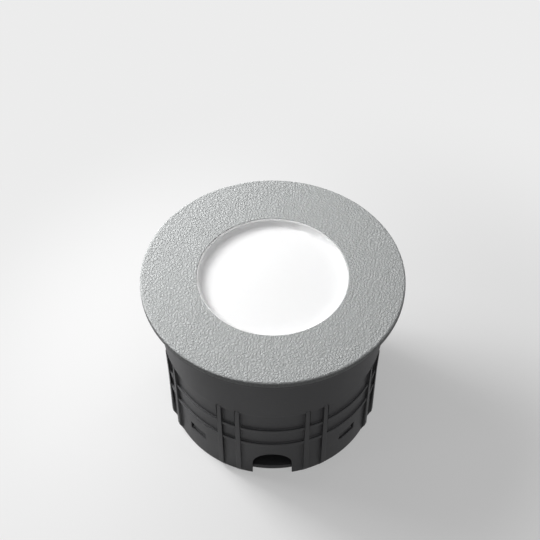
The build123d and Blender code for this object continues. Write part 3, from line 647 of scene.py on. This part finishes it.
def lens_profile():
    """The lens section from the axis out over its face, upstand and flange, and back.

    The wall leans outwards; a hollow joins it to the face and a bead crowns it.
    """
    lip_z = FACE_Z - LIP_DROP
    bead_z = lip_z - BEAD_R
    top_r = UPSTAND_R - WALL_T
    foot_r = top_r - WALL_FLARE
    lean = math.atan2(bead_z - LENS_FACE_Z, WALL_FLARE)
    trim = HOLLOW_R * math.tan(lean / 2)
    hollow_end = (foot_r + trim * math.cos(lean), LENS_FACE_Z + trim * math.sin(lean))
    hollow_centre = (foot_r - trim, LENS_FACE_Z + HOLLOW_R)
    bead_centre = (UPSTAND_R - BEAD_R, bead_z)
    flange_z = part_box("lens_gasket")[0].z
    parts = [
        line((0, LENS_FACE_Z), (foot_r - trim, LENS_FACE_Z), 1.0 * MM),
        arc(hollow_centre, HOLLOW_R, -90, math.degrees(lean) - 90, 6),
        line(hollow_end, (top_r, bead_z - 0.2 * MM), 0.4 * MM),
        arc(bead_centre, BEAD_R, 215, 90, 10),
        line((UPSTAND_R - BEAD_R, lip_z), (UPSTAND_R, lip_z), 0.16 * MM),
        line((UPSTAND_R, lip_z), (UPSTAND_R, flange_z), COARSE),
        line((UPSTAND_R, flange_z), (lens_high.x, flange_z), COARSE),
        line((lens_high.x, flange_z), (lens_high.x, lens_low.z), COARSE),
        line((lens_high.x, lens_low.z), (0, lens_low.z), 4 * MM),
        np.array([[0, lens_low.z]]),
    ]
    return np.concatenate(parts)


def opal():
    """Milky moulding: white, softly glossy, with a faint even glow of painted light."""
    all_alike = (1.0, 1.0, 1.0)
    # The even glow is painted light: no lamp shines inside the lens.
    f = Finish(
        "opal", Roughness=0.42, Specular_IOR_Level=0.25,
        Subsurface_Weight=1.0, Subsurface_Radius=all_alike, Subsurface_Scale=4 * MM,
        Emission_Color=all_alike, Emission_Strength=0.11,
    )
    haze = f.noise(3 * MM, 2.0)
    return f.give(Base_Color=f.mixed(haze, (0.87, 0.87, 0.88), (0.91, 0.91, 0.91)))


finishes["opal"] = opal()
lens = disc_mesh("lens", lens_profile(), LENS_SEGMENTS)
place_piece("lens", lens, "lamp", "opal", "diffuser_lens")

# %% [markdown]
# ## The cable gland's thread
#
# The gland is turned from hexagon bar: a plain stem in the housing, a hexagon collar
# and a thread for the nut. The thread shows when the nut is slackened, and a bump would
# leave its outline straight, so it is cut for real. One grid does all of it, because
# each of these forms is a radius that depends on the height and on the angle round the
# axis.

# %% Gland body
THREAD_PITCH = 1.5 * MM
THREAD_DEPTH = 0.6 * MM
THREAD_LENGTH = 8 * MM
THREAD_FLAT = 0.12
RUN_OUT = 0.5 * MM
LEAD_IN = 0.8 * MM
STEM_R, CREST_R, SEAT_R, BORE_R = 6.0 * MM, 6.4 * MM, 4.9 * MM, 3.9 * MM
SEAT_DEPTH = 5 * MM
COLLAR_H = 3 * MM
HEX_R = 8.9 * MM
HEX_BEVEL = 0.65 * MM
HALF_SECTOR = math.pi / 6
HEX_ROWS, THREAD_ROWS = 7, 91
GLAND_SEGMENTS = 240
NORMALS_SPLIT = math.radians(28)
gland_low, gland_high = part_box("gland_body")


def hexagon_r(u):
    """Radius of a hexagon in direction u: its flat's distance over the cosine to it."""
    return HEX_R * math.cos(HALF_SECTOR) / np.cos(u % (2 * HALF_SECTOR) - HALF_SECTOR)


def thread_r(u, z):
    """Radius of a screw thread: a wave in z that climbs one pitch with each turn of u.

    The wave is a triangle, cut flat at its crests and at its roots.
    """
    phase = (z / THREAD_PITCH - u / (2 * np.pi)) % 1.0
    wave = 1 - np.abs(2 * phase - 1)
    groove = np.clip((wave - THREAD_FLAT) / (1 - 2 * THREAD_FLAT), 0, 1)
    return CREST_R - THREAD_DEPTH * groove


def gland_points():
    """The grid of the gland's outside, downwards, and of its bore, back up.

    The hexagon is trimmed by a cone at each end. The thread starts behind a cone at the
    gland's mouth and runs out into a groove under the collar.
    """
    end_z, top_z = gland_low.z, gland_high.z
    collar_z = end_z + THREAD_LENGTH
    boss_z = collar_z + COLLAR_H
    u = np.arange(GLAND_SEGMENTS)[:, None] / GLAND_SEGMENTS * 2 * np.pi
    hex_z = np.concatenate([
        np.linspace(boss_z, boss_z - HEX_BEVEL, HEX_ROWS),
        np.linspace(collar_z + HEX_BEVEL, collar_z, HEX_ROWS),
    ])
    from_end = np.minimum(boss_z - hex_z, hex_z - collar_z)
    flat_r = HEX_R * math.cos(HALF_SECTOR)
    cone_r = flat_r + (HEX_R - flat_r) * from_end / HEX_BEVEL
    hex_rows = np.minimum(hexagon_r(u), cone_r)
    cut_z = np.linspace(collar_z, end_z, THREAD_ROWS)
    cut = np.clip((collar_z - cut_z) / RUN_OUT, 0, 1)
    lead_in = np.minimum(CREST_R, SEAT_R + LEAD_IN + (cut_z - end_z))
    cut_rows = np.minimum(thread_r(u, cut_z), lead_in)
    cut_rows = cut * cut_rows + (1 - cut) * (CREST_R - THREAD_DEPTH)
    seat_z = end_z + SEAT_DEPTH
    bore = np.array([(SEAT_R, end_z), (SEAT_R, seat_z), (BORE_R, seat_z), (BORE_R, top_z)])
    stem = np.array([(STEM_R, top_z), (STEM_R, boss_z)])
    wide = np.ones_like(u)
    r = np.concatenate([wide * stem[:, 0], hex_rows, cut_rows, wide * bore[:, 0]], axis=1)
    z = np.concatenate([stem[:, 1], hex_z, cut_z, bore[:, 1]])
    return np.stack([r * np.cos(u), r * np.sin(u), np.broadcast_to(z, r.shape)], axis=2)


def nickel_plate():
    """Bright nickel on brass: warm grey, nearly a mirror, over the bar's drawn lines."""
    f = Finish("nickel_plate", Metallic=1.0)
    cloud = f.noise(6 * MM, 3.0)
    drawn = f.noise(0.3 * MM, 2.0, 0.5, (1, 1, 25))
    tint = f.mixed(cloud, (0.60, 0.575, 0.52), (0.69, 0.67, 0.61))
    rough = 0.2 + 0.1 * cloud + 0.06 * drawn
    return f.give(Base_Color=tint, Roughness=rough, Normal=f.bump(drawn, 0.008 * MM))


finishes["nickel_brass"] = nickel_plate()
gland = ring_mesh("gland_thread", gland_points())
gland.set_sharp_from_angle(angle=NORMALS_SPLIT)
place_piece("gland_thread", gland, "lamp", "nickel_brass", "gland_body")

# %% [markdown]
# ## Patterns round an axis
#
# A lathe leaves rings round a piece's axis, and rolling leaves lines along a strip.
# Both are noise that varies one way only. Small pieces that stand in a circle round the
# light could each have a material with its own centre. Instead each point's direction
# is folded into one sector, so that one pattern serves all of them.

# %% Distance from an axis, and lathe rings
def from_axis(f, ring_r=0.0, count=1, first=0.0):
    """Distance from the light's axis, or from the nearest of count axes round it.

    Those axes stand on a circle of radius ring_r, and the first is in direction first.
    """
    x, y, _ = f.axes()
    step = 2 * math.pi / count
    direction = f.math("ARCTAN2", y, x) - first
    folded = direction - f.math("ROUND", direction * (1 / step)) * step
    radius = (x * x + y * y) ** 0.5
    along = radius * f.math("COSINE", folded) - ring_r
    across = radius * f.math("SINE", folded)
    return (along * along + across * across) ** 0.5


def lathe_rings(f, distance, pitch):
    """Noise that depends on a distance only, as a cutter's point leaves it."""
    inputs = {"W": distance * (1 / pitch), "Scale": 1.0, "Detail": 2.0}
    return f.node("TexNoise", {"noise_dimensions": "1D"}, inputs)


print("patterns for turned pieces: from_axis and lathe_rings")

# %% [markdown]
# ## Moulded plastics and rubber
#
# The sleeve and its base are black polypropylene from a spark-eroded mould, which
# leaves an even sandy grain of half a millimetre. Where the melt flowed, the gloss and
# the black vary a little along the height. Glass-filled nylon shows pale fibres at its
# skin, and rubber is duller, with a thin grey bloom. One black could serve all three,
# but side by side they would then look like one piece.

# %% Plastics
def sleeve_plastic():
    """Black polypropylene: sandy grain, satin where the melt ran, faint draw marks."""
    f = Finish("sleeve_black", Specular_IOR_Level=0.45)
    flow = f.noise(16 * MM, 4.0, 0.55, (1, 1, 2.5))
    sand = f.noise(0.5 * MM, 3.0, 0.6)
    drag = f.noise(0.9 * MM, 2.0, 0.5, (1, 1, 30))
    tint = f.mixed(flow, (0.034, 0.034, 0.036), (0.048, 0.048, 0.051))
    rough = 0.44 + 0.14 * flow + 0.08 * sand
    relief = f.bump(0.8 * sand + 0.2 * drag, 0.05 * MM)
    return f.give(Base_Color=tint, Roughness=rough, Normal=relief)


def glass_filled_nylon():
    """Black nylon with short glass fibres, which show as pale flecks in its skin."""
    f = Finish("nylon_black")
    fibre = f.spread(f.noise(0.35 * MM, 1.0, 0.5, (1, 5, 1)), 0.62, 0.72)
    sand = f.noise(0.4 * MM, 3.0)
    tint = f.mixed(fibre, (0.034, 0.034, 0.036), (0.075, 0.075, 0.078))
    relief = f.bump(sand, 0.03 * MM)
    return f.give(Base_Color=tint, Roughness=0.42 + 0.1 * sand, Normal=relief)


def seal_rubber():
    """Black rubber: dull, finely pitted, with a grey bloom in clouds."""
    f = Finish("rubber_black", Specular_IOR_Level=0.35)
    bloom = f.noise(5 * MM, 4.0, 0.6)
    pits = f.noise(0.3 * MM, 3.0, 0.6)
    tint = f.mixed(bloom, (0.016, 0.016, 0.016), (0.034, 0.034, 0.033))
    relief = f.bump(pits, 0.03 * MM)
    return f.give(Base_Color=tint, Roughness=0.68 + 0.14 * bloom, Normal=relief)


def white_reflector():
    """White polycarbonate loaded with titania: satin, with a faint moulding ripple."""
    f = Finish("reflector_satin", Roughness=0.3)
    ripple = f.noise(2.5 * MM, 2.0)
    tint = f.mixed(ripple, (0.84, 0.84, 0.83), (0.89, 0.89, 0.88))
    return f.give(Base_Color=tint, Normal=f.bump(ripple, 0.02 * MM))


def silicone_pad():
    """Grey gap pad: the weave of its glass cloth shows through as fine squares."""
    f = Finish("silicone_pad", Roughness=0.65)
    thread = 0.6 * MM
    x, y, _ = f.axes()
    threads = [f.math("SINE", axis * (2 * math.pi / thread)) for axis in (x, y)]
    weave = threads[0] * threads[1] * 0.5 + 0.5
    tint = f.mixed(weave, (0.15, 0.16, 0.18), (0.19, 0.2, 0.225))
    return f.give(Base_Color=tint, Normal=f.bump(weave, 0.03 * MM))


finishes["sleeve_plastic"] = sleeve_plastic()
finishes["black_nylon"] = glass_filled_nylon()
finishes["seal_rubber"] = seal_rubber()
finishes["reflector_white"] = white_reflector()
finishes["thermal_grey"] = silicone_pad()
print(len(finishes), "finishes so far")

# %% [markdown]
# ## Metals
#
# The housing is die-cast: a blasted grey skin with flow marks, and a flange whose rim
# is turned bright. The spring clips are rolled stainless strip, tinted like straw where
# the eye was wound and tempered. The screw heads are turned, so their rings run round
# each screw's own axis. A smooth metal would show only the studio's reflection, so each
# of these marks also breaks up the gloss.

# %% Metals
TURNED_FROM, TURNED_TO = 34.5 * MM, 34.9 * MM
TURNED_PITCH = 0.22 * MM


def cast_aluminium():
    """Raw casting with a blasted skin, and lathe rings on the flange's rim."""
    f = Finish("cast_aluminium", Metallic=1.0)
    radius = from_axis(f)
    _, _, z = f.axes()
    bright = f.spread(radius, TURNED_FROM, TURNED_TO)
    flow = f.noise(8 * MM, 4.0, 0.6)
    blast = f.noise(0.55 * MM, 3.0, 0.6)
    skin = f.mixed(flow, (0.40, 0.405, 0.41), (0.54, 0.545, 0.55))
    tint = f.mixed(bright, skin, (0.70, 0.705, 0.71))
    rough = 0.5 - 0.22 * bright + 0.1 * flow
    rings = lathe_rings(f, radius + z, TURNED_PITCH)
    relief = blast * (1 - bright) + 0.2 * rings * bright
    return f.give(Base_Color=tint, Roughness=rough, Normal=f.bump(relief, 0.05 * MM))


def spreader_metal():
    """Aluminium plate faced on a lathe: rings round the light's axis."""
    f = Finish("faced_aluminium", Metallic=1.0)
    faced = lathe_rings(f, from_axis(f), 0.2 * MM)
    tint = f.mixed(faced, (0.66, 0.665, 0.67), (0.76, 0.765, 0.77))
    relief = f.bump(faced, 0.01 * MM)
    return f.give(Base_Color=tint, Roughness=0.25 + 0.1 * faced, Normal=relief)


def spring_strip():
    """Rolled strip: lines along its length, and a straw tint round the wound eye."""
    f = Finish("spring_strip", Metallic=1.0)
    pin_low, pin_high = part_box("clip_pins")
    pin_z = (pin_low.z + pin_high.z) / 2
    _, _, z = f.axes()
    rolled = f.noise(0.22 * MM, 2.0, 0.5, (1, 1, 40))
    cloud = f.noise(4 * MM, 2.0)
    steel = f.mixed(rolled, (0.47, 0.475, 0.48), (0.60, 0.605, 0.61))
    warm = f.spread(z + 2 * MM * cloud, pin_z - 5 * MM, pin_z, "SMOOTHSTEP") * 0.6
    tint = f.mixed(warm, steel, (0.52, 0.44, 0.31))
    relief = f.bump(rolled, 0.01 * MM)
    return f.give(Base_Color=tint, Roughness=0.22 + 0.14 * rolled, Normal=relief)


def gilt_pin():
    """Gold flash on brass pins, drawn along their length."""
    f = Finish("gilt_pin", Metallic=1.0)
    drawn = f.noise(0.15 * MM, 2.0, 0.5, (1, 1, 20))
    tint = f.mixed(drawn, (0.78, 0.56, 0.2), (0.86, 0.65, 0.28))
    return f.give(Base_Color=tint, Roughness=0.18 + 0.1 * drawn)


finishes["die_cast"] = cast_aluminium()
finishes["spreader_metal"] = spreader_metal()
finishes["spring_steel"] = spring_strip()
finishes["contact_gold"] = gilt_pin()
print(len(finishes), "finishes so far")

# %% Screws and pins
SCREW_CIRCLES = {
    "housing_screws": (32.9 * MM, 6, 0.0),
    "board_screws": (15.5 * MM, 3, math.pi / 2),
    "spreader_screws": (20.6 * MM, 3, math.pi / 6),
    "driver_screws": (13.6 * MM, 3, math.pi / 2),
    "clip_pins": (30.15 * MM, 3, math.pi / 2),
}


def screw_steel(name, ring_r, count, first):
    """Stainless screws on a circle, with lathe rings round each of their axes."""
    f = Finish(name, Metallic=1.0)
    lathe = lathe_rings(f, from_axis(f, ring_r, count, first), 0.16 * MM)
    cloud = f.noise(3 * MM, 2.0)
    tint = f.mixed(cloud, (0.54, 0.54, 0.53), (0.64, 0.64, 0.63))
    relief = f.bump(lathe, 0.01 * MM)
    return f.give(Base_Color=tint, Roughness=0.22 + 0.12 * lathe, Normal=relief)


screws = {
    name: screw_steel(name[:-1] + "_steel", *circle) for name, circle in SCREW_CIRCLES.items()
}
print(len(screws), "finishes for screws and pins")

# %% [markdown]
# ## Boards and what stands on them
#
# They show only when the lamp is taken apart, yet each has its own finish: tracks under
# the solder mask, a round phosphor well in each LED's white frame, a tin top on the
# capacitors, copper wire on the inductor's waist. These could be pieces of their own,
# but they are thin skins on shapes that the CAD already has, so a mask on the height or
# on the distance from an axis paints each where it belongs.

# %% Electronics
TRACK_SPACING = 3 * MM
WELLS_R, WELLS = 8 * MM, 8
WELL_R = 1.1 * MM
SOFT = 0.05 * MM
DISC_T = 1.3 * MM
WIRE_PITCH = 0.5 * MM


def solder_mask(name, over_board, over_track):
    """Mask over copper: the tracks run between cells, and stand up a little."""
    f = Finish(name, Roughness=0.3)
    inputs = {"Vector": f.place, "Scale": 1 / TRACK_SPACING}
    edge = f.node("TexVoronoi", {"feature": "DISTANCE_TO_EDGE"}, inputs)
    track = f.spread(edge, 0.16, 0.12)
    glass = f.noise(0.5 * MM, 2.0)
    tint = f.mixed(track, over_board, over_track)
    return f.give(Base_Color=tint, Normal=f.bump(track + 0.2 * glass, 0.04 * MM))


def phosphor():
    """A round well of phosphor in each white frame: one in the middle, eight round it."""
    f = Finish("phosphor", Roughness=0.35)
    nearest = f.math("MINIMUM", from_axis(f), from_axis(f, WELLS_R, WELLS))
    well = f.spread(nearest, WELL_R + SOFT, WELL_R - SOFT)
    grain = f.noise(0.2 * MM, 2.0)
    gold = f.mixed(grain, (0.80, 0.55, 0.07), (0.88, 0.66, 0.13))
    tint = f.mixed(well, (0.84, 0.84, 0.82), gold)
    return f.give(Base_Color=tint, Normal=f.bump(grain * well, 0.02 * MM))


def capacitor_can():
    """Black shrink sleeve, with the can's aluminium showing on its top."""
    f = Finish("capacitor_can")
    _, _, z = f.axes()
    top_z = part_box("driver_capacitors")[1].z
    tin = f.spread(z, top_z - 0.05 * MM, top_z - 0.02 * MM)
    pull = f.noise(1.2 * MM, 2.0, 0.5, (1, 1, 8))
    black = f.mixed(pull, (0.018, 0.018, 0.024), (0.03, 0.03, 0.038))
    tint = f.mixed(tin, black, (0.66, 0.665, 0.67))
    return f.give(Base_Color=tint, Metallic=tin, Roughness=0.24 + 0.12 * pull)


def drum_core():
    """Grey ferrite discs; between them turns of enamelled copper wire."""
    f = Finish("drum_core")
    core_low, core_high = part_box("driver_inductor")
    _, _, z = f.axes()
    up = f.spread(z, core_low.z + DISC_T - SOFT, core_low.z + DISC_T + SOFT)
    down = f.spread(z, core_high.z - DISC_T + SOFT, core_high.z - DISC_T - SOFT)
    wound = up * down
    turns = f.math("SINE", z * (2 * math.pi / WIRE_PITCH)) * 0.5 + 0.5
    grain = f.noise(0.3 * MM, 3.0, 0.6)
    stone = f.mixed(grain, (0.05, 0.048, 0.047), (0.085, 0.082, 0.08))
    wire = f.mixed(turns, (0.28, 0.09, 0.03), (0.62, 0.25, 0.09))
    tint = f.mixed(wound, stone, wire)
    relief = f.bump(wound * turns + 0.1 * grain, 0.12 * MM)
    return f.give(Base_Color=tint, Roughness=0.5 - 0.2 * wound, Normal=relief)


def pressed_resin(name, dark, light):
    """Transfer-moulded packages and blocks: matt, with a sandy skin."""
    f = Finish(name)
    sand = f.noise(0.25 * MM, 3.0, 0.6)
    cloud = f.noise(4 * MM, 2.0)
    tint = f.mixed(cloud, dark, light)
    relief = f.bump(sand, 0.03 * MM)
    return f.give(Base_Color=tint, Roughness=0.5 + 0.12 * sand, Normal=relief)


finishes["board_white"] = solder_mask("mask_white", (0.78, 0.79, 0.78), (0.7, 0.72, 0.7))
finishes["board_green"] = solder_mask("mask_green", (0.02, 0.13, 0.05), (0.04, 0.24, 0.09))
finishes["led_phosphor"] = phosphor()
finishes["capacitor_sleeve"] = capacitor_can()
finishes["ferrite"] = drum_core()
finishes["chip_black"] = pressed_resin("chip_resin", (0.02,) * 3, (0.032,) * 3)
finishes["terminal_green"] = pressed_resin(
    "terminal_resin", (0.035, 0.2, 0.08), (0.05, 0.26, 0.1)
)
print(len(finishes), "finishes so far")

# %% [markdown]
# ## A finish for every node
#
# The record names a material slot for each node, and several nodes may share one. The
# screws share a slot too, but each circle of them has its own centres, so their
# finishes go by the node's name and come first.

# %% Dress the nodes
slots = {s["node"]: s["material_slot"] for s in frame["record"]["subparts"]}
for name, node in nodes.items():
    node.data.materials.clear()
    node.data.materials.append(screws.get(name) or finishes[slots[name]])
print(len(finishes) + len(screws), "finishes on", len(nodes), "nodes")

# %% [markdown]
# ## Eased edges
#
# No moulded or cast edge is sharp: the tool's corner has a small radius, and on the
# piece that radius catches the light along a rib. The CAD leaves most of these edges
# square, because rounding so many would be slow there. So the sleeve, its base and the
# housing each get a copy whose coplanar triangles are joined into plain faces, and a
# Bevel modifier rounds the edges between them. Normals weighted by area then keep the
# plain faces evenly shaded.

# %% Eased edges
EASE = 0.2 * MM
EASE_STEPS = 2
EASED_ANGLE = math.radians(35)
COPLANAR = math.radians(0.5)
WELD = 0.001 * MM


def joined_copy(name):
    """A node's mesh with its triangles welded, and joined where they lie in one plane."""
    mesh = nodes[name].data.copy()
    work = bmesh.new()
    work.from_mesh(mesh)
    bmesh.ops.remove_doubles(work, verts=work.verts, dist=WELD)
    bmesh.ops.dissolve_limit(work, angle_limit=COPLANAR, verts=work.verts, edges=work.edges)
    work.to_mesh(mesh)
    work.free()
    mesh.polygons.foreach_set("use_smooth", np.ones(len(mesh.polygons), bool))
    mesh.materials.clear()
    return mesh


def ease(name, body, slot):
    """A copy of a CAD node with a small radius on its edges; it stands for the node."""
    piece = place_piece(name + "_eased", joined_copy(name), body, slot, name)
    bevel = piece.modifiers.new("radius", "BEVEL")
    bevel.width, bevel.segments = EASE, EASE_STEPS
    bevel.limit_method, bevel.angle_limit = "ANGLE", EASED_ANGLE
    bevel.use_clamp_overlap = False
    piece.modifiers.new("even shading", "WEIGHTED_NORMAL")


ease("mounting_sleeve", "ground_sleeve", "sleeve_plastic")
ease("drain_base", "ground_sleeve", "sleeve_plastic")
ease("lamp_housing", "lamp", "die_cast")
